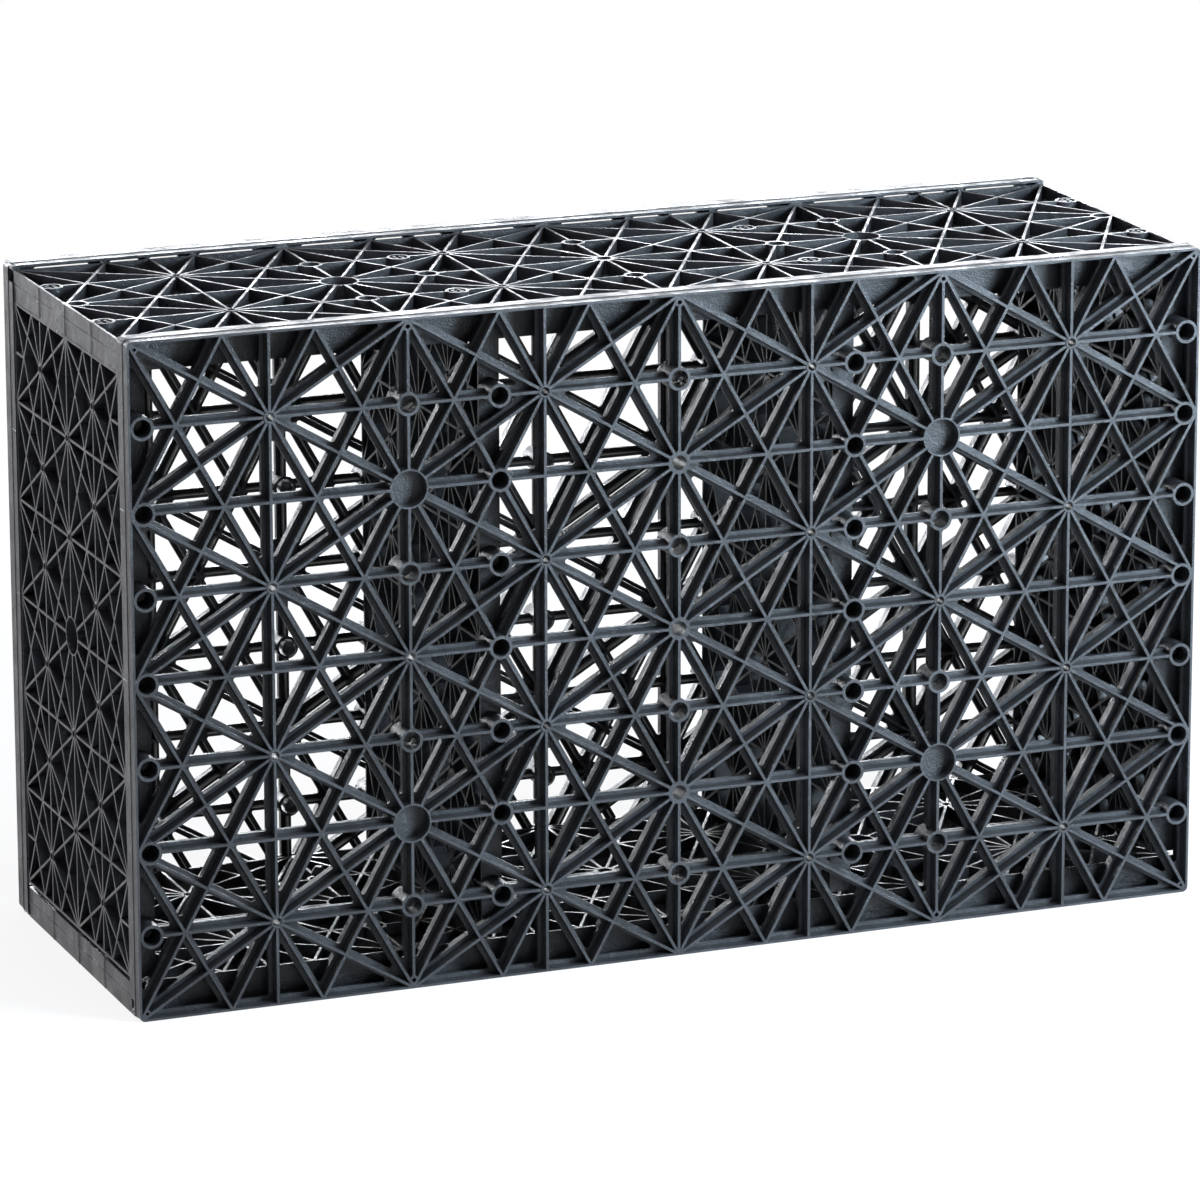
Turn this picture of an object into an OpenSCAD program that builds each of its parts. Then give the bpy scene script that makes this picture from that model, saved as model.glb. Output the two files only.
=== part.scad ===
// Soakaway crate: eight moulded lattice plates plugged together into an open box.
// X runs along the length, Z is up and the front plate faces -Y.
// The origin is at the middle of the footprint, on the ground.

/* [Crate] */
// Overall length, along X
length = 685; // [500:1:900]
// Overall height, along Z
height = 410; // [300:1:600]
// Overall depth, along Y
depth = 242; // [180:1:400]
// How far the top plate lies below the large plates' top edge
top_recess = 3; // [0:0.5:8]
// Gap that the shoulders of the pegs keep above the bottom plate
shoulder_gap = 3; // [0:0.5:6]

/* [Mouldings] */
// Thickness of the front and back plates
large_thickness = 18.5; // [12:0.5:25]
// Thickness of the top and bottom plates
flat_thickness = 19; // [12:0.5:25]
// Thickness of the end plates
end_thickness = 15.5; // [10:0.5:20]
// Thickness of the inner plates
inner_thickness = 13; // [10:0.5:20]
// Thickness of a rib
web = 1.7; // [1.2:0.1:4]
// Thickness of the rim round each plate
rim = 1.8; // [1.2:0.1:4]
// Thickness of the flange sheet at half depth
sheet = 2.2; // [1.5:0.1:4]
// How far the flange reaches past each side of a rib
margin = 2.3; // [1:0.1:4]
// Corner radius of the large plates
corner_radius = 3.5; // [1:0.5:6]
// Height of the bead that the parting line leaves on a rim
bead = 0.3; // [0:0.1:0.6]

/* [Rings and hubs] */
// Bore of the sockets that the pegs enter
socket_bore = 10.8; // [8:0.2:12]
// Outer diameter of socket rings and peg rings
ring_diameter = 14.4; // [13:0.1:16]
// Distance of the end sockets from the ends of the crate
socket_inset = 8.8; // [7:0.1:12]
// Outer diameter of the big blind hubs
big_hub_diameter = 24; // [20:1:30]
// Bore of the big blind hubs
big_hub_bore = 22; // [16:1:28]
// Outer diameter of the ringed hubs on the middle line
mid_hub_diameter = 14; // [12:0.5:18]
// Bore of the ringed hubs
mid_hub_bore = 9; // [6:0.5:12]
// Hole at the crossings of the large lattices
star_hole = 5; // [3:0.2:6]
// Hole at the crossings of the end and inner plates
small_star_hole = 4; // [2:0.2:6]
// Diameter of the bosses along the large plates' top and bottom edges
boss_diameter = 5.6; // [4:0.2:8]
// Hole in those bosses
boss_hole = 2.6; // [1:0.2:4]
// Distance of those bosses from the edge
boss_inset = 5.5; // [3:0.5:8]
// Diameter of the pins near the large plates' corners
pin_diameter = 4.6; // [3:0.2:6]
// Hole in the corner pins
pin_hole = 2; // [1:0.2:3]
// Distance of the corner pins from both edges
pin_inset = 5; // [4:0.5:8]

/* [Pegs] */
// Diameter of the pegs on the end and inner plates
peg_diameter = 10.4; // [7:0.1:10.6]
// How far they enter the large plates and the bottom plate
peg_reach = 6; // [6:0.5:16]
// How far they enter the top plate
top_peg_reach = 18.8; // [6:0.1:18.9]
// Neck of the barbed pegs on the large plates
neck_diameter = 6.4; // [4:0.2:8]
// Widest part of a barbed peg
barb_diameter = 9; // [7:0.2:10]
// How far a barbed peg stands out of its plate
barb_reach = 8; // [4:0.5:12]
// Chamfer at the tip of a peg
peg_chamfer = 1.5; // [0.5:0.1:2]
// Width of the cross slot in the pegs that enter the top plate
split = 2; // [0.8:0.1:2.4]
// Shoulder that keeps an end plate off the bottom plate
shoulder_diameter = 13; // [11:0.5:14]

/* [Notches] */
// Height of the notch above the lower edge of a large plate
notch_level = 2.6; // [1:0.2:6]
// Height of the notch itself
notch_height = 8; // [4:0.5:12]

/* [Hidden] */
$fn = 48;

// Half modules of the lattice
long_cells = 8;
tall_cells = 8;
deep_cells = 4;
end_rows = 12;

// Where a barbed peg widens and narrows, as shares of its reach, and its tip as a share of the neck
barb_neck_end = 0.25;
barb_wide_from = 0.35;
barb_wide_to = 0.55;
barb_tip = 0.7;

plate_color = [0.10, 0.10, 0.11];
flat_color = [0.22, 0.23, 0.25];
end_color = [0.16, 0.16, 0.18];
inner_color = [0.13, 0.13, 0.15];

room_depth = depth - 2 * large_thickness;
flat_length = length - 2 * (socket_inset - end_thickness / 2);
top_level = height - top_recess - flat_thickness;
end_level = flat_thickness + shoulder_gap;
end_height = top_level - end_level;

large_pitch = [(length - rim) / long_cells, (height - rim) / tall_cells];
flat_pitch = [(flat_length - rim) / long_cells, (room_depth - rim) / deep_cells];
end_pitch = [(room_depth - rim) / deep_cells, (end_height - rim) / end_rows];

end_x = length / 2 - socket_inset;
third_x = large_pitch[0] * long_cells / 6;
socket_columns = [-end_x, -third_x, third_x, end_x];
odd_rows = [1, 3, 5, 7];
peg_columns = [2, 4, 6];

// Points of the lattice
function crossing(cells, pitch, i, j) = [(i - cells[0] / 2) * pitch[0], (j - cells[1] / 2) * pitch[1]];
function large_at(i, j) = crossing([long_cells, tall_cells], large_pitch, i, tall_cells - j);
function flat_at(i, k) = crossing([long_cells, deep_cells], flat_pitch, i, k);
function end_at(k, j) = crossing([deep_cells, end_rows], end_pitch, k, j);

// Outlines moved inwards
function turn(p, q) = p[0] * q[1] - p[1] * q[0];
function along(p, q) = (q - p) / norm(q - p);
function before(p, k) = p[(k + len(p) - 1) % len(p)];
function after(p, k) = p[(k + 1) % len(p)];
function anticlockwise(p) =
    turn(p[1] - p[0], p[2] - p[1]) > 0 ? p : [for (k = [len(p) - 1 : -1 : 0]) p[k]];
function inner_corner(p, k, d) =
    let (u = along(before(p, k), p[k]), v = along(p[k], after(p, k)))
    p[k] + (v - u) * d / turn(u, v);
function inset(p, d) = [for (k = [0 : len(p) - 1]) inner_corner(p, k, d)];

// The openings of one half module, as shares of its width and height.
// A long diagonal joins the nodes at two corners, and steep ones run three rows up for one column.
fine_cell = [
    [[0, 0], [1/3, 1], [0, 1]],
    [[0, 0], [1/2, 1/2], [1/3, 1]],
    [[1/2, 1/2], [1, 1], [1/3, 1]],
    [[1, 1], [2/3, 0], [1, 0]],
    [[1, 1], [1/2, 1/2], [2/3, 0]],
    [[0, 0], [2/3, 0], [1/2, 1/2]]];
coarse_cell = [
    [[0, 0], [1, 1], [0, 1]],
    [[0, 0], [1, 0], [1, 1]]];

// Two half modules, one above the other, with no rib between them.
fine_pair = [
    [[0, 0], [1/3, 1], [0, 2]],
    [[1/2, 1/2], [1, 1], [1/2, 3/2], [1/3, 1]],
    [[0, 0], [1/2, 1/2], [1/3, 1]],
    [[0, 2], [1/3, 1], [1/2, 3/2]],
    [[1, 1], [2/3, 0], [1, 0]],
    [[1, 1], [1, 2], [2/3, 2]],
    [[1, 1], [1/2, 1/2], [2/3, 0]],
    [[1, 1], [2/3, 2], [1/2, 3/2]],
    [[0, 0], [2/3, 0], [1/2, 1/2]],
    [[0, 2], [1/2, 3/2], [2/3, 2]]];
coarse_pair = [
    [[0, 0], [1, 1], [0, 2]],
    [[0, 0], [1, 0], [1, 1]],
    [[0, 2], [1, 1], [1, 2]]];

function placed(shape, cells, pitch, i, j, flip) =
    anticlockwise([for (q = shape) crossing(cells, pitch, i + (flip ? 1 - q[0] : q[0]), j + q[1])]);
function openings(set, cells, pitch, step) = [
    for (i = [0 : cells[0] - 1], j = [0 : step : cells[1] - 1], shape = set)
        placed(shape, cells, pitch, i, j, (i + j) % 2 == 1)];

large_cells = [long_cells, tall_cells];
flat_cells = [long_cells, deep_cells];
end_cells = [deep_cells, end_rows];

module outline(size, radius) {
    square([size[0] - 2 * radius, size[1]], center = true);
    if (radius > 0) {
        square([size[0], size[1] - 2 * radius], center = true);
        for (x = [-1, 1], y = [-1, 1]) {
            translate([x * (size[0] / 2 - radius), y * (size[1] / 2 - radius)]) circle(radius);
        }
    }
}

module openwork(size, radius, holes, edge) {
    difference() {
        outline(size, radius);
        for (hole = holes) {
            polygon(inset(hole, edge));
        }
    }
}

module discs(places, diameter) {
    for (p = places) {
        translate(p) circle(d = diameter);
    }
}

// Front and back plates
large_size = [length, height];
large_sockets = [for (x = socket_columns, j = [1 : tall_cells - 1]) [x, large_at(0, j)[1]]];
peg_rings = [for (i = peg_columns, j = odd_rows) large_at(i, j)];
mid_hubs = [for (j = [2, 4, 6]) large_at(4, j)];
big_hubs = [for (i = [2, 6], j = [2, 6]) large_at(i, j)];
large_stars = concat(
    [for (i = odd_rows, j = odd_rows) large_at(i, j)],
    [for (i = [2, 6]) large_at(i, 4)]);
edge_bosses = concat(
    [for (i = peg_columns) [large_at(i, 0)[0], height / 2 - boss_inset]],
    [for (i = [2, 6]) [large_at(i, 0)[0], boss_inset - height / 2]]);
corner_pins = [for (x = [-1, 1], y = [-1, 1]) [x * (length / 2 - pin_inset), y * (height / 2 - pin_inset)]];

module large_solid_discs() {
    discs(large_sockets, ring_diameter);
    discs(peg_rings, ring_diameter);
    discs(mid_hubs, mid_hub_diameter);
    discs(big_hubs, big_hub_diameter);
}

module large_bores() {
    discs(large_sockets, socket_bore);
    discs(mid_hubs, mid_hub_bore);
    discs(large_stars, star_hole);
}

module large_outer_ribs() {
    difference() {
        union() {
            openwork(large_size - [2, 2] * bead, corner_radius,
                     openings(fine_cell, large_cells, large_pitch, 1), web / 2);
            large_solid_discs();
            discs(edge_bosses, boss_diameter);
            discs(corner_pins, pin_diameter);
        }
        large_bores();
        discs(peg_rings, socket_bore);
        discs(big_hubs, big_hub_bore);
        discs(edge_bosses, boss_hole);
        discs(corner_pins, pin_hole);
    }
}

module large_sheet() {
    difference() {
        union() {
            openwork(large_size, corner_radius, openings(fine_cell, large_cells, large_pitch, 1),
                     web / 2 + margin);
            large_solid_discs();
        }
        large_bores();
        for (p = peg_rings) {
            translate(p) peg_ring_gap();
        }
    }
}

module large_inner_ribs() {
    difference() {
        union() {
            openwork(large_size - [2, 2] * bead, corner_radius,
                     openings(coarse_cell, large_cells, large_pitch, 1), web / 2);
            large_solid_discs();
        }
        large_bores();
        discs(peg_rings, socket_bore);
        discs(big_hubs, big_hub_bore);
        translate([-length / 2, notch_level - height / 2]) square([2 * rim, notch_height]);
    }
}

// The bar that carries a barbed peg crosses the bore of its ring.
module peg_ring_gap() {
    difference() {
        circle(d = socket_bore);
        square([socket_bore * 2, web], center = true);
        circle(d = neck_diameter);
    }
}

module barbed_peg(root) {
    rotate_extrude() {
        polygon([
            [0, root],
            [neck_diameter / 2, root],
            [neck_diameter / 2, -barb_reach * barb_neck_end],
            [barb_diameter / 2, -barb_reach * barb_wide_from],
            [barb_diameter / 2, -barb_reach * barb_wide_to],
            [neck_diameter / 2 * barb_tip, -barb_reach],
            [0, -barb_reach]]);
    }
}

// Lies with its inner face on z = 0 and its outer face up.
module large_plate() {
    half = (large_thickness - sheet) / 2;
    linear_extrude(half) large_inner_ribs();
    translate([0, 0, half]) linear_extrude(sheet) large_sheet();
    translate([0, 0, half + sheet]) linear_extrude(half) large_outer_ribs();
    for (p = peg_rings) {
        translate(p) barbed_peg(half);
    }
}

// Top and bottom plates
flat_size = [flat_length, room_depth];
flat_sockets = [for (x = socket_columns, k = [1, 2, 3]) [x, flat_at(0, k)[1]]];
flat_peg_rings = [for (i = peg_columns, k = [1, 3]) flat_at(i, k)];
flat_big_hubs = [for (i = [2, 6]) flat_at(i, 2)];
flat_stars = [for (i = odd_rows, k = [1, 3]) flat_at(i, k)];

module flat_solid_discs() {
    discs(flat_sockets, ring_diameter);
    discs(flat_peg_rings, ring_diameter);
    discs([flat_at(4, 2)], mid_hub_diameter);
    discs(flat_big_hubs, big_hub_diameter);
}

module flat_bores() {
    discs(flat_sockets, socket_bore);
    discs([flat_at(4, 2)], mid_hub_bore);
    discs(flat_stars, star_hole);
}

module flat_ribs(set) {
    difference() {
        union() {
            openwork(flat_size - [2 * bead, 0], 0, openings(set, flat_cells, flat_pitch, 1), web / 2);
            flat_solid_discs();
        }
        flat_bores();
        discs(flat_peg_rings, socket_bore);
        discs(flat_big_hubs, big_hub_bore);
    }
}

module flat_sheet() {
    difference() {
        union() {
            openwork(flat_size, 0, openings(fine_cell, flat_cells, flat_pitch, 1), web / 2 + margin);
            flat_solid_discs();
        }
        flat_bores();
        for (p = flat_peg_rings) {
            translate(p) peg_ring_gap();
        }
    }
}

module flat_plate() {
    half = (flat_thickness - sheet) / 2;
    linear_extrude(half) flat_ribs(coarse_cell);
    translate([0, 0, half]) linear_extrude(sheet) flat_sheet();
    translate([0, 0, half + sheet]) linear_extrude(half) flat_ribs(fine_cell);
    for (p = flat_peg_rings) {
        translate(p) barbed_peg(half);
    }
}

// End and inner plates
end_size = [room_depth, end_height];
end_stars = [for (k = [1, 3], j = [1 : 2 : end_rows - 1]) end_at(k, j)];
end_middle_stars = [for (j = [2, 4, 8, 10]) end_at(2, j)];
end_peg_levels = [for (j = odd_rows) large_at(0, j)[1] + height / 2 - end_level - end_height / 2];

// Short stubs leave the side rims at the first and last row without a rib.
module stubs() {
    for (j = [1, end_rows - 1], side = [-1, 1]) {
        translate([side * (end_size[0] / 2 - end_pitch[0] / 6), end_at(0, j)[1]])
            square([end_pitch[0] / 3, web], center = true);
    }
}

module end_ribs(set) {
    difference() {
        union() {
            openwork(end_size, 0, openings(set, end_cells, end_pitch, 2), web / 2);
            discs([[0, 0]], big_hub_diameter);
            stubs();
        }
        discs(end_stars, small_star_hole);
        discs(end_middle_stars, small_star_hole);
        discs([[0, 0]], big_hub_bore);
    }
}

module end_sheet() {
    difference() {
        openwork(end_size, 0, openings(fine_cell, end_cells, end_pitch, 1), web / 2 + margin);
        discs(end_stars, small_star_hole);
        discs(end_middle_stars, small_star_hole);
    }
}

module peg(reach) {
    rotate_extrude() {
        polygon([
            [0, -rim / 2],
            [peg_diameter / 2, -rim / 2],
            [peg_diameter / 2, reach - peg_chamfer],
            [peg_diameter / 2 - peg_chamfer, reach],
            [0, reach]]);
    }
}

module split_peg(reach) {
    difference() {
        peg(reach);
        for (turned = [0, 90]) {
            rotate(turned) translate([0, 0, reach]) cube([peg_diameter * 2, split, reach], center = true);
        }
    }
}

// Pegs stand on all four rims, at half thickness.
module rim_pegs(thick) {
    for (v = end_peg_levels, side = [-1, 1]) {
        translate([side * end_size[0] / 2, v, thick / 2]) rotate([0, side * 90, 0]) peg(peg_reach);
    }
    for (u = [-1, 1]) {
        translate([u * flat_pitch[1], end_size[1] / 2, thick / 2])
            rotate([-90, 0, 0]) split_peg(top_peg_reach);
        translate([u * flat_pitch[1], -end_size[1] / 2, thick / 2]) rotate([90, 0, 0]) {
            peg(shoulder_gap + peg_reach);
            translate([0, 0, -rim / 2]) cylinder(d = shoulder_diameter, h = shoulder_gap + rim / 2);
        }
    }
}

module end_plate() {
    half = (end_thickness - sheet) / 2;
    linear_extrude(half) end_ribs(coarse_pair);
    translate([0, 0, half]) linear_extrude(sheet) end_sheet();
    translate([0, 0, half + sheet]) linear_extrude(half) end_ribs(fine_pair);
    rim_pegs(end_thickness);
}

module inner_plate() {
    linear_extrude(inner_thickness) end_ribs(fine_pair);
    rim_pegs(inner_thickness);
}

// The plates in their places
module front_plate() {
    color(plate_color)
        translate([0, large_thickness - depth / 2, height / 2]) rotate([90, 0, 0]) large_plate();
}

module back_plate() {
    color(plate_color)
        translate([0, depth / 2 - large_thickness, height / 2]) rotate([-90, 0, 0]) large_plate();
}

module top_plate() {
    color(flat_color)
        translate([0, 0, top_level]) flat_plate();
}

module bottom_plate() {
    color(flat_color)
        translate([0, 0, flat_thickness]) rotate([180, 0, 0]) flat_plate();
}

module left_end_plate() {
    color(end_color)
        translate([end_thickness / 2 - end_x, 0, end_level + end_height / 2])
        rotate([90, 0, -90]) end_plate();
}

module right_end_plate() {
    color(end_color)
        translate([end_x - end_thickness / 2, 0, end_level + end_height / 2])
        rotate([90, 0, 90]) end_plate();
}

module placed_inner_plate(x) {
    color(inner_color)
        translate([x - inner_thickness / 2, 0, end_level + end_height / 2])
        rotate([90, 0, 90]) inner_plate();
}

module inner_plate_left() {
    placed_inner_plate(-third_x);
}

module inner_plate_right() {
    placed_inner_plate(third_x);
}

front_plate();
back_plate();
top_plate();
bottom_plate();
left_end_plate();
right_end_plate();
inner_plate_left();
inner_plate_right();
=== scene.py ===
from collections import namedtuple
from math import cos, pi, radians, sin, sqrt, tan

import bpy
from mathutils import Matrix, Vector


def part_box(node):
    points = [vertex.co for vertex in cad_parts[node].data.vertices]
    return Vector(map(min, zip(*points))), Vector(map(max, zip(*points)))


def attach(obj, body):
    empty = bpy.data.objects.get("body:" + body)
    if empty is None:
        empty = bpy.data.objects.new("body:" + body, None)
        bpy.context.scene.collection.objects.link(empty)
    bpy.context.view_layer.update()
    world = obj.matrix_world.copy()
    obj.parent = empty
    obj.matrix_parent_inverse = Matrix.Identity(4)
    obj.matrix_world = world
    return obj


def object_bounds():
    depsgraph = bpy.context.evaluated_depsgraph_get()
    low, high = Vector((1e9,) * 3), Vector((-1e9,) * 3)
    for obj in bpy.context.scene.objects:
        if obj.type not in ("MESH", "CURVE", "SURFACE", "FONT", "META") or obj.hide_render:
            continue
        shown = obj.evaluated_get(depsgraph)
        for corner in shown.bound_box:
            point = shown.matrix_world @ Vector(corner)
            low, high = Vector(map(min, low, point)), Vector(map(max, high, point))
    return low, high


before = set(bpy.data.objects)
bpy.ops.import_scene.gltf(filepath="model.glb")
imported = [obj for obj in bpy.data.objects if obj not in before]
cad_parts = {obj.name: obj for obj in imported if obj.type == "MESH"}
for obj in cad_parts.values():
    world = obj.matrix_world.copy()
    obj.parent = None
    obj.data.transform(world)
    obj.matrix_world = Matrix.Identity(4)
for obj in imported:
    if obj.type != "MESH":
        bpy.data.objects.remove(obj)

frame_box = [list(corner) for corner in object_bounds()]
crate_low, crate_high = (Vector(corner) for corner in frame_box)

# Camera, fitted to the photograph
CAMERA_PLACE = (-1.5008, -3.7691, 1.2816)
CAMERA_TURN = (74.968, 0.124, -21.683)
CAMERA_SHIFT = (0.0022, 0.0007)
FOCAL_LENGTH = 205.35
SENSOR_WIDTH = 36.0
VIEW_DEPTH = 20.0

# Mouldings, in metres, as in the model
LARGE_THICK = 0.0185
FLAT_THICK = 0.019
END_THICK = 0.0155
SHOULDER_GAP = 0.003
WEB = 0.0017
RIM = 0.0018
SHEET = 0.0022
MARGIN = 0.0023
RING_RADIUS = 0.0072
BIG_HUB_RADIUS = 0.012
MID_HUB_RADIUS = 0.007
STAR_HOLE_RADIUS = 0.0025
SMALL_STAR_HOLE_RADIUS = 0.002
SOCKET_INSET = 0.0088
LONG_CELLS, TALL_CELLS, DEEP_CELLS, END_ROWS = 8, 8, 4, 12

# Rows and columns of crossings that carry rings, hubs and holes
ODD = (1, 3, 5, 7)
EVEN = (2, 4, 6)
HUBS = (2, 6)
MIDDLE = 4
FLAT_ODD = (1, 3)
FLAT_MIDDLE = 2
END_EVEN = (2, 4, 8, 10)

# Moulding detail that only this script makes
EDGE_ROUNDING = 0.00035
WELD_DISTANCE = 1e-6
FLAT_ANGLE = radians(1.0)
SHARP_ANGLE = radians(40.0)
NORMAL_WEIGHT = 100
CORNER_FILLET = 0.0015
FILLET_ROOT = 0.0004
FILLET_STEPS = 6
FACE_STEP = 0.00003
RIB_ROOT = WEB / 4
BOSS_RADIUS = 0.0040
SMALL_BOSS_RADIUS = 0.0031
BOSS_RISE = 0.0004
BOSS_LIP = 0.0003
BOSS_STEPS = 28
LIP_STEPS = 4
SEAM_WIDTH = 0.0005
SEAM_HEIGHT = 0.0002

# Openings in the flange of one half module, and the steep ribs between them, as shares of its size
FLANGE_HOLES = [
    [(0, 0), (1/3, 1), (0, 1)],
    [(0, 0), (1/2, 1/2), (1/3, 1)],
    [(1/2, 1/2), (1, 1), (1/3, 1)],
    [(1, 1), (2/3, 0), (1, 0)],
    [(1, 1), (1/2, 1/2), (2/3, 0)],
    [(0, 0), (2/3, 0), (1/2, 1/2)]]
STEEP_RIBS = [
    [(0, 0), (1/3, 1)],
    [(1, 1), (2/3, 0)],
    [(1/3, 1), (2/3, 0)]]

# Plastic
DARK_PLASTIC = (0.012, 0.0125, 0.014, 1.0)
PALE_PLASTIC = (0.025, 0.026, 0.029, 1.0)
# Pale colour of the patches of painted sheen, which stand in for blotchy reflections on the rims
SHEEN_PATCH_COLOR = (0.075, 0.078, 0.085, 1.0)
SMOOTHEST, ROUGHEST = 0.26, 0.50
SPECULAR_LEVEL = 0.3
REFRACTIVE_INDEX = 1.5

# Texture of the plastic: scale and detail of each noise, the span of it that counts, and the strength
# and depth of the bumps
CLOUDS, CLOUD_SPAN = (18.0, 6.0), (0.35, 0.68)
# Patches of painted sheen: scale and detail of their noise, the span of it that counts, its breakup and
# the greatest share of pale colour
SHEEN_PATCHES, SHEEN_PATCH_SPAN = (130.0, 9.0), (0.58, 0.76)
SHEEN_PATCH_BREAKUP, SHEEN_PATCH_SHARE = 0.72, 0.6
SMEARS, SMEAR_SPAN = (60.0, 7.0), (0.33, 0.67)
GRAIN, GRAIN_BUMP = (900.0, 4.0), (0.6, 0.0006)
WAVES, WAVE_BUMP = (130.0, 3.0), (0.5, 0.0012)

# Surroundings, in radiance
BACKGROUND = (1.0, 1.0, 1.0, 1.0)
SURROUNDINGS = (0.08, 0.09, 0.12, 1.0)
FLOOR_COLOR = (0.80, 0.80, 0.80, 1.0)
FLOOR_SHADOW = 0.15
SHADOW_REACH = (0.8, 2.0)
FLOOR_REACH = 6.0

# Lamps, which all face the middle of the crate: name, place, size, power and colour
LAMPS = [
    ("back_low", (0.5, 3.4, 0.5), (4.0, 0.9), 250.0, (0.92, 0.95, 1.0)),
    ("overhead", (0.0, 0.0, 2.8), (2.0, 2.0), 40.0, (0.88, 0.94, 1.0)),
    ("front_high", (-0.2, -1.0, 2.6), (1.2, 1.2), 24.0, (0.94, 0.97, 1.0)),
    ("left", (-3.0, 0.0, 0.9), (1.6, 1.6), 26.0, (0.96, 0.80, 1.0)),
    ("right", (3.0, -0.4, 0.9), (1.6, 1.6), 28.0, (0.82, 0.91, 1.0)),
    ("right_near", (1.0, -1.25, 0.62), (0.6, 0.6), 46.0, (0.70, 0.86, 1.0)),
    ("right_high", (1.0, -1.10, 0.95), (0.5, 0.5), 54.0, (0.70, 0.86, 1.0)),
    ("right_low", (0.80, -1.15, 0.16), (0.5, 0.22), 9.0, (0.70, 0.86, 1.0))]

# One lattice plate: its node, the middle of its inner face and its directions, its size, the crossings
# with rings and those with a small hole, called stars, and the radius and rise of the lips round these
Plate = namedtuple("Plate", "node middle across up out size cells thick rings stars star_hole boss rise")


def add_camera():
    data = bpy.data.cameras.new("camera")
    data.lens = FOCAL_LENGTH
    data.sensor_width = SENSOR_WIDTH
    data.shift_x, data.shift_y = CAMERA_SHIFT
    data.clip_end = VIEW_DEPTH
    camera = bpy.data.objects.new("camera", data)
    camera.location = CAMERA_PLACE
    camera.rotation_mode = "XYZ"
    camera.rotation_euler = [radians(angle) for angle in CAMERA_TURN]
    bpy.context.collection.objects.link(camera)
    bpy.context.scene.camera = camera


# Lattice

def pitch(plate):
    """The width and height of one half module."""
    return [(plate.size[k] - RIM) / plate.cells[k] for k in (0, 1)]


def crossing(plate, i, j):
    """The place of a crossing, from the middle of the plate."""
    step = pitch(plate)
    return Vector(((i - plate.cells[0] / 2) * step[0], (j - plate.cells[1] / 2) * step[1]))


def cell_shapes(plate, shapes):
    """The shapes of one half module in every cell, mirrored from each cell to the next."""
    for i in range(plate.cells[0]):
        for j in range(plate.cells[1]):
            flip = (i + j) % 2 == 1
            for shape in shapes:
                yield [crossing(plate, i + (1 - x if flip else x), j + y) for x, y in shape]


def in_place(plate, point, level):
    """A point of the plate, at a level above its inner face."""
    return plate.middle + plate.across * point[0] + plate.up * point[1] + plate.out * level


def plates():
    length, depth, height = crate_high - crate_low
    room = depth - 2 * LARGE_THICK
    flat_low, flat_high = (Vector(corner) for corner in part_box("top_plate"))
    top_level = flat_high.z - FLAT_THICK
    end_level = FLAT_THICK + SHOULDER_GAP
    end_height = top_level - end_level
    end_x = length / 2 - SOCKET_INSET
    third_x = (length - RIM) / 6
    columns = [-end_x, -third_x, third_x, end_x]
    large = (length, height), (LONG_CELLS, TALL_CELLS), LARGE_THICK
    flat = (flat_high.x - flat_low.x, room), (LONG_CELLS, DEEP_CELLS), FLAT_THICK
    end = (room, end_height), (DEEP_CELLS, END_ROWS), END_THICK
    x, y, z = Vector((1, 0, 0)), Vector((0, 1, 0)), Vector((0, 0, 1))
    half = height / 2

    def large_plate(node, middle, up, out):
        plate = Plate(node, middle, x, up, out, *large, [], [], STAR_HOLE_RADIUS, BOSS_RADIUS, BOSS_RISE)
        rows = range(1, TALL_CELLS)
        plate.rings.extend(((c, crossing(plate, 0, j).y), RING_RADIUS) for c in columns for j in rows)
        plate.rings.extend((crossing(plate, i, j), RING_RADIUS) for i in EVEN for j in ODD)
        plate.rings.extend((crossing(plate, MIDDLE, j), MID_HUB_RADIUS) for j in EVEN)
        plate.rings.extend((crossing(plate, i, j), BIG_HUB_RADIUS) for i in HUBS for j in HUBS)
        plate.stars.extend(crossing(plate, i, j) for i in ODD for j in ODD)
        plate.stars.extend(crossing(plate, i, MIDDLE) for i in HUBS)
        return plate

    def flat_plate(node, middle, up, out, rise):
        plate = Plate(node, middle, x, up, out, *flat, [], [], STAR_HOLE_RADIUS, BOSS_RADIUS, rise)
        rows = range(1, DEEP_CELLS)
        plate.rings.extend(((c, crossing(plate, 0, k).y), RING_RADIUS) for c in columns for k in rows)
        plate.rings.extend((crossing(plate, i, k), RING_RADIUS) for i in EVEN for k in FLAT_ODD)
        plate.rings.append((crossing(plate, MIDDLE, FLAT_MIDDLE), MID_HUB_RADIUS))
        plate.rings.extend((crossing(plate, i, FLAT_MIDDLE), BIG_HUB_RADIUS) for i in HUBS)
        plate.stars.extend(crossing(plate, i, k) for i in ODD for k in FLAT_ODD)
        return plate

    def end_plate(node, side):
        middle = Vector((side * (end_x - END_THICK / 2), 0, end_level + end_height / 2))
        plate = Plate(node, middle, y * side, z, x * side, *end, [], [],
                      SMALL_STAR_HOLE_RADIUS, SMALL_BOSS_RADIUS, BOSS_RISE)
        plate.rings.append((Vector((0, 0)), BIG_HUB_RADIUS))
        plate.stars.extend(crossing(plate, k, j) for k in FLAT_ODD for j in range(1, END_ROWS, 2))
        plate.stars.extend(crossing(plate, FLAT_MIDDLE, j) for j in END_EVEN)
        return plate

    return [
        large_plate("front_plate", Vector((0, LARGE_THICK - depth / 2, half)), z, -y),
        large_plate("back_plate", Vector((0, depth / 2 - LARGE_THICK, half)), -z, y),
        flat_plate("top_plate", Vector((0, 0, top_level)), y, z, BOSS_RISE),
        flat_plate("bottom_plate", Vector((0, 0, FLAT_THICK)), -y, -z, 0.0),
        end_plate("left_end_plate", -1),
        end_plate("right_end_plate", 1)]


# Pieces

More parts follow.
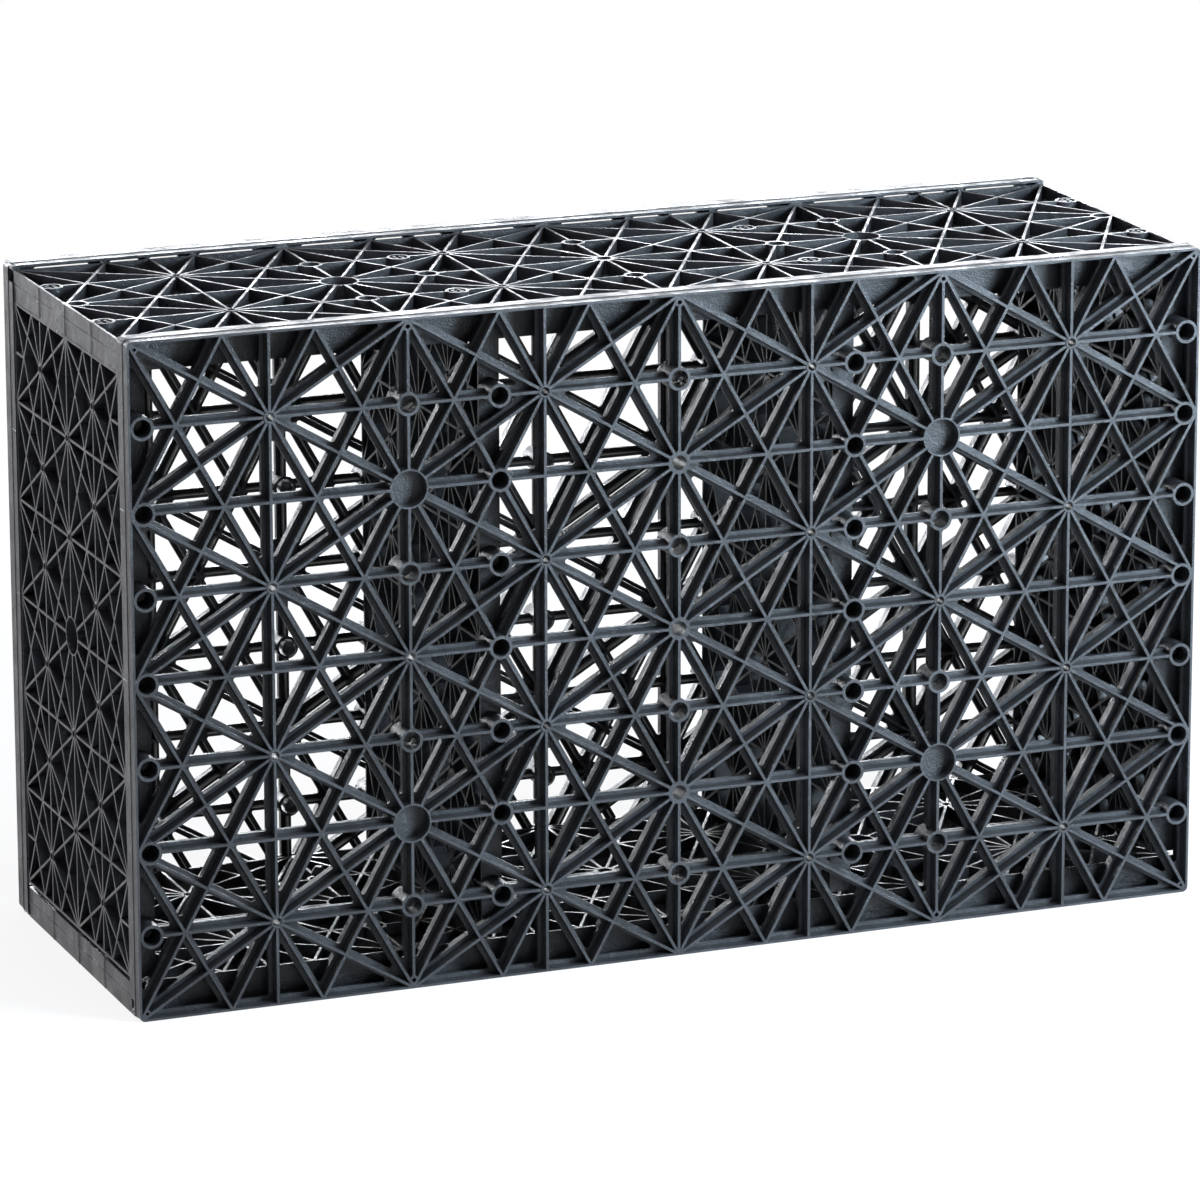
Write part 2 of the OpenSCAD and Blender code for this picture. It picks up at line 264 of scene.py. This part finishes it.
def add_piece(name, points, faces, material, smooth=False):
    mesh = bpy.data.meshes.new(name)
    mesh.from_pydata(points, [], faces)
    mesh.polygons.foreach_set("use_smooth", [smooth] * len(mesh.polygons))
    mesh.materials.append(material)
    mesh.update()
    piece = bpy.data.objects.new(name, mesh)
    bpy.context.collection.objects.link(piece)
    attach(piece, "root")
    return piece


def add_prism(points, faces, plate, outline, bottom, top):
    first = len(points)
    count = len(outline)
    points += [in_place(plate, p, bottom) for p in outline]
    points += [in_place(plate, p, top) for p in outline]
    faces.append([first + k for k in reversed(range(count))])
    faces.append([first + count + k for k in range(count)])
    for k in range(count):
        after = (k + 1) % count
        faces.append([first + k, first + after, first + count + after, first + count + k])


def turn(p, q):
    return p.x * q.y - p.y * q.x


def anticlockwise(shape):
    return shape if turn(shape[1] - shape[0], shape[2] - shape[1]) > 0 else shape[::-1]


def inset_corner(before, corner, after, distance):
    u = (corner - before).normalized()
    v = (after - corner).normalized()
    return corner + (v - u) * (distance / turn(u, v))


def fillet_outline(before, corner, after, radius):
    """The filling of a corner up to a rounding, with a root that reaches into the flange."""
    u = (before - corner).normalized()
    v = (after - corner).normalized()
    angle = u.angle(v)
    reach = radius / tan(angle / 2)
    middle = corner + (u + v).normalized() * (radius / sin(angle / 2))
    start = corner + v * reach - middle
    bends = [k * (pi - angle) / FILLET_STEPS for k in range(FILLET_STEPS + 1)]
    arc = [middle + Vector((start.x * cos(bend) + start.y * sin(bend),
                            start.y * cos(bend) - start.x * sin(bend))) for bend in bends]
    root_reach = FILLET_ROOT / sin(angle)
    root = corner - (u + v) * root_reach
    side_v = Vector((v.y, -v.x)) * FILLET_ROOT
    side_u = Vector((-u.y, u.x)) * FILLET_ROOT
    return [root, corner + v * reach + side_v] + arc + [corner + u * reach + side_u]


def is_clear(point, plate):
    return all((point - Vector(centre)).length > radius for centre, radius in plate.rings)


def round_the_flange(plate, material):
    points, faces = [], []
    edge = WEB / 2 + MARGIN
    bottom = (plate.thick - SHEET) / 2 + FACE_STEP
    top = bottom + SHEET - 2 * FACE_STEP
    for shape in cell_shapes(plate, FLANGE_HOLES):
        shape = anticlockwise(shape)
        hole = [inset_corner(shape[k - 1], shape[k], shape[(k + 1) % 3], edge) for k in range(3)]
        for k in range(3):
            if is_clear(hole[k], plate):
                outline = fillet_outline(hole[k - 1], hole[k], hole[(k + 1) % 3], CORNER_FILLET)
                add_prism(points, faces, plate, outline, bottom, top)
    add_piece(plate.node + "_fillets", points, faces, material)


def outside(start, end, centre, radius):
    """The stretches of a line that lie outside a circle."""
    way = end - start
    length = way.length
    way = way / length
    near = (Vector(centre) - start).dot(way)
    gap = (start + way * near - Vector(centre)).length
    if gap >= radius:
        return [(start, end)]
    half = sqrt(radius * radius - gap * gap)
    stretches = []
    if near - half > WEB:
        stretches.append((start, start + way * min(near - half, length)))
    if near + half < length - WEB:
        stretches.append((start + way * max(near + half, 0), end))
    return stretches


def rib_inner_face(plate, material):
    """The steep ribs on the inner face, which the model leaves out there."""
    points, faces = [], []
    top = (plate.thick - SHEET) / 2
    gaps = [(centre, radius - RIB_ROOT) for centre, radius in plate.rings]
    gaps += [(centre, plate.star_hole + RIB_ROOT) for centre in plate.stars]
    for start, end in cell_shapes(plate, STEEP_RIBS):
        stretches = [(start, end)]
        for centre, radius in gaps:
            stretches = [part for a, b in stretches for part in outside(a, b, centre, radius)]
        for a, b in stretches:
            way = (b - a).normalized()
            side = Vector((-way.y, way.x)) * (WEB / 2)
            outline = [a - side, b - side, b + side, a + side]
            add_prism(points, faces, plate, outline, FACE_STEP, top)
    add_piece(plate.node + "_inner_ribs", points, faces, material)


def add_bosses(plate, material):
    """The raised lips round the small holes at the crossings."""
    points, faces = [], []
    bore = plate.star_hole - FACE_STEP
    low = (plate.thick + SHEET) / 2 - FACE_STEP
    high = plate.thick + plate.rise
    bends = [k * (pi / 2) / LIP_STEPS for k in range(LIP_STEPS + 1)]
    round_in = [(bore + BOSS_LIP * (1 - cos(bend)), high - BOSS_LIP * (1 - sin(bend))) for bend in bends]
    round_out = [(plate.boss + bore - radius, level) for radius, level in reversed(round_in)]
    profile = [(bore, low)] + round_in + round_out + [(plate.boss, low)]
    count = len(profile)
    for centre in plate.stars:
        first = len(points)
        for k in range(BOSS_STEPS):
            way = Vector((cos(2 * pi * k / BOSS_STEPS), sin(2 * pi * k / BOSS_STEPS)))
            points += [in_place(plate, centre + way * radius, level) for radius, level in profile]
        for k in range(BOSS_STEPS):
            here, there = first + k * count, first + (k + 1) % BOSS_STEPS * count
            for m in range(count):
                n = (m + 1) % count
                faces.append([here + m, there + m, there + n, here + n])
    piece = add_piece(plate.node + "_bosses", points, faces, material, smooth=True)
    weigh_normals(piece)


def add_seams(plate, material):
    """The upright seams on the ends of a flat plate, one beside each socket."""
    points, faces = [], []
    edge = plate.size[0] / 2
    for side in (-1, 1):
        for k in range(1, plate.cells[1]):
            middle = crossing(plate, 0, k).y
            corners = [(side * edge, middle - SEAM_WIDTH / 2), (side * (edge + SEAM_HEIGHT), middle),
                       (side * edge, middle + SEAM_WIDTH / 2), (side * (edge - SEAM_HEIGHT), middle)]
            outline = anticlockwise([Vector(corner) for corner in corners])
            add_prism(points, faces, plate, outline, FACE_STEP, plate.thick - FACE_STEP)
    add_piece(plate.node + "_seams", points, faces, material)


def weigh_normals(piece):
    weighted = piece.modifiers.new("weighted normals", "WEIGHTED_NORMAL")
    weighted.keep_sharp = True
    weighted.weight = NORMAL_WEIGHT


def soften_edges(plate):
    """Rounds the sharp edges of a plate that came from the model."""
    weld = plate.modifiers.new("weld", "WELD")
    weld.merge_threshold = WELD_DISTANCE
    flatten = plate.modifiers.new("flatten", "DECIMATE")
    flatten.decimate_type = "DISSOLVE"
    flatten.angle_limit = FLAT_ANGLE
    bevel = plate.modifiers.new("bevel", "BEVEL")
    bevel.width = EDGE_ROUNDING
    bevel.segments = 1
    bevel.limit_method = "ANGLE"
    bevel.angle_limit = SHARP_ANGLE
    weigh_normals(plate)


# Material

def new_node(tree, kind, place):
    node = tree.nodes.new(kind)
    node.location = place
    return node


def noise(tree, coords, kind, place):
    node = new_node(tree, "ShaderNodeTexNoise", place)
    node.inputs["Scale"].default_value, node.inputs["Detail"].default_value = kind
    tree.links.new(coords.outputs["Object"], node.inputs["Vector"])
    return node


def spread(tree, value, span, to_span, place):
    """Maps one span of a value to another."""
    node = new_node(tree, "ShaderNodeMapRange", place)
    node.inputs["From Min"].default_value, node.inputs["From Max"].default_value = span
    node.inputs["To Min"].default_value, node.inputs["To Max"].default_value = to_span
    tree.links.new(value, node.inputs["Value"])
    return node.outputs["Result"]


def bump(tree, height, strength_and_depth, place):
    node = new_node(tree, "ShaderNodeBump", place)
    node.inputs["Strength"].default_value, node.inputs["Distance"].default_value = strength_and_depth
    tree.links.new(height.outputs["Fac"], node.inputs["Height"])
    return node


def black_plastic():
    """Satin moulded plastic: cloudy tint, pale patches of painted sheen in place of blotchy reflections,
    uneven gloss and a fine grain.
    """
    material = bpy.data.materials.new("black_plastic")
    material.use_nodes = True
    tree = material.node_tree
    shader = tree.nodes["Principled BSDF"]
    shader.inputs["IOR"].default_value = REFRACTIVE_INDEX
    shader.inputs["Specular IOR Level"].default_value = SPECULAR_LEVEL
    coords = new_node(tree, "ShaderNodeTexCoord", (-1400, 0))

    clouds = noise(tree, coords, CLOUDS, (-1200, 500))
    tint = new_node(tree, "ShaderNodeValToRGB", (-800, 500))
    dark_end, pale_end = tint.color_ramp.elements
    dark_end.position, pale_end.position = CLOUD_SPAN
    dark_end.color, pale_end.color = DARK_PLASTIC, PALE_PLASTIC
    tree.links.new(clouds.outputs["Fac"], tint.inputs["Fac"])

    # Painted sheen: pale patches mixed into the colour by a noise, standing in for blotchy reflections
    sheen_patches = noise(tree, coords, SHEEN_PATCHES, (-1200, 200))
    sheen_patches.inputs["Roughness"].default_value = SHEEN_PATCH_BREAKUP
    painted_sheen = spread(tree, sheen_patches.outputs["Fac"], SHEEN_PATCH_SPAN, (0.0, SHEEN_PATCH_SHARE), (-800, 200))
    color = new_node(tree, "ShaderNodeMix", (-400, 400))
    color.data_type = "RGBA"
    color.inputs["B"].default_value = SHEEN_PATCH_COLOR
    tree.links.new(painted_sheen, color.inputs["Factor"])
    tree.links.new(tint.outputs["Color"], color.inputs["A"])
    tree.links.new(color.outputs["Result"], shader.inputs["Base Color"])

    smears = noise(tree, coords, SMEARS, (-1200, -100))
    uneven = spread(tree, smears.outputs["Fac"], SMEAR_SPAN, (SMOOTHEST, ROUGHEST), (-800, -100))
    tree.links.new(uneven, shader.inputs["Roughness"])

    grain = bump(tree, noise(tree, coords, GRAIN, (-1200, -400)), GRAIN_BUMP, (-500, -400))
    waves = bump(tree, noise(tree, coords, WAVES, (-1200, -700)), WAVE_BUMP, (-800, -700))
    tree.links.new(waves.outputs["Normal"], grain.inputs["Normal"])
    tree.links.new(grain.outputs["Normal"], shader.inputs["Normal"])
    return material


# Light and floor

def white_for_seen_rays(tree):
    """One for camera, glossy and transmission rays, and nought for the others."""
    path = new_node(tree, "ShaderNodeLightPath", (-800, 300))
    first = new_node(tree, "ShaderNodeMath", (-600, 300))
    first.operation = "MAXIMUM"
    tree.links.new(path.outputs["Is Camera Ray"], first.inputs[0])
    tree.links.new(path.outputs["Is Glossy Ray"], first.inputs[1])
    second = new_node(tree, "ShaderNodeMath", (-400, 300))
    second.operation = "MAXIMUM"
    tree.links.new(first.outputs[0], second.inputs[0])
    tree.links.new(path.outputs["Is Transmission Ray"], second.inputs[1])
    return second


def light_world():
    world = bpy.data.worlds.new("white")
    bpy.context.scene.world = world
    world.use_nodes = True
    tree = world.node_tree
    tree.nodes.clear()
    output = new_node(tree, "ShaderNodeOutputWorld", (600, 0))
    seen = new_node(tree, "ShaderNodeBackground", (0, 100))
    seen.inputs["Color"].default_value = BACKGROUND
    around = new_node(tree, "ShaderNodeBackground", (0, -100))
    around.inputs["Color"].default_value = SURROUNDINGS
    mix = new_node(tree, "ShaderNodeMixShader", (300, 0))
    tree.links.new(white_for_seen_rays(tree).outputs[0], mix.inputs["Fac"])
    tree.links.new(around.outputs["Background"], mix.inputs[1])
    tree.links.new(seen.outputs["Background"], mix.inputs[2])
    tree.links.new(mix.outputs["Shader"], output.inputs["Surface"])


def add_floor():
    mesh = bpy.data.meshes.new("floor")
    reach = FLOOR_REACH
    corners = [(-reach, -reach), (reach, -reach), (reach, reach), (-reach, reach)]
    mesh.from_pydata([(x, y, crate_low.z) for x, y in corners], [], [(0, 1, 2, 3)])
    material = bpy.data.materials.new("floor")
    material.use_nodes = True
    tree = material.node_tree
    tree.nodes.clear()
    output = new_node(tree, "ShaderNodeOutputMaterial", (600, 0))
    matt = new_node(tree, "ShaderNodeBsdfDiffuse", (0, -100))
    matt.inputs["Color"].default_value = FLOOR_COLOR
    glow = new_node(tree, "ShaderNodeEmission", (0, 100))
    glow.inputs["Color"].default_value = BACKGROUND
    share = new_node(tree, "ShaderNodeMath", (-200, 300))
    share.operation = "MULTIPLY"
    tree.links.new(white_for_seen_rays(tree).outputs[0], share.inputs[0])
    coords = new_node(tree, "ShaderNodeTexCoord", (-1000, 600))
    distance = new_node(tree, "ShaderNodeVectorMath", (-800, 600))
    distance.operation = "LENGTH"
    tree.links.new(coords.outputs["Object"], distance.inputs[0])
    fade = spread(tree, distance.outputs["Value"], SHADOW_REACH, (1.0 - FLOOR_SHADOW, 1.0), (-600, 600))
    tree.links.new(fade, share.inputs[1])
    mix = new_node(tree, "ShaderNodeMixShader", (300, 0))
    tree.links.new(share.outputs[0], mix.inputs["Fac"])
    tree.links.new(matt.outputs["BSDF"], mix.inputs[1])
    tree.links.new(glow.outputs["Emission"], mix.inputs[2])
    tree.links.new(mix.outputs["Shader"], output.inputs["Surface"])
    mesh.materials.append(material)
    floor = bpy.data.objects.new("floor", mesh)
    bpy.context.collection.objects.link(floor)


def add_panel(name, place, size, power, color):
    data = bpy.data.lights.new(name, "AREA")
    data.shape = "RECTANGLE"
    data.size, data.size_y = size
    data.energy = power
    data.color = color
    lamp = bpy.data.objects.new(name, data)
    lamp.location = place
    aim = (crate_low + crate_high) / 2
    lamp.rotation_euler = (aim - Vector(place)).to_track_quat("-Z", "Y").to_euler()
    bpy.context.collection.objects.link(lamp)


def dress_crate():
    plastic = black_plastic()
    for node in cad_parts.values():
        node.data.materials.clear()
        node.data.materials.append(plastic)
        soften_edges(node)
    for plate in plates():
        round_the_flange(plate, plastic)
        rib_inner_face(plate, plastic)
        add_bosses(plate, plastic)
        if plate.node in ("top_plate", "bottom_plate"):
            add_seams(plate, plastic)


add_camera()
light_world()
add_floor()
for lamp in LAMPS:
    add_panel(*lamp)
dress_crate()
bpy.context.scene.view_settings.view_transform = "Standard"
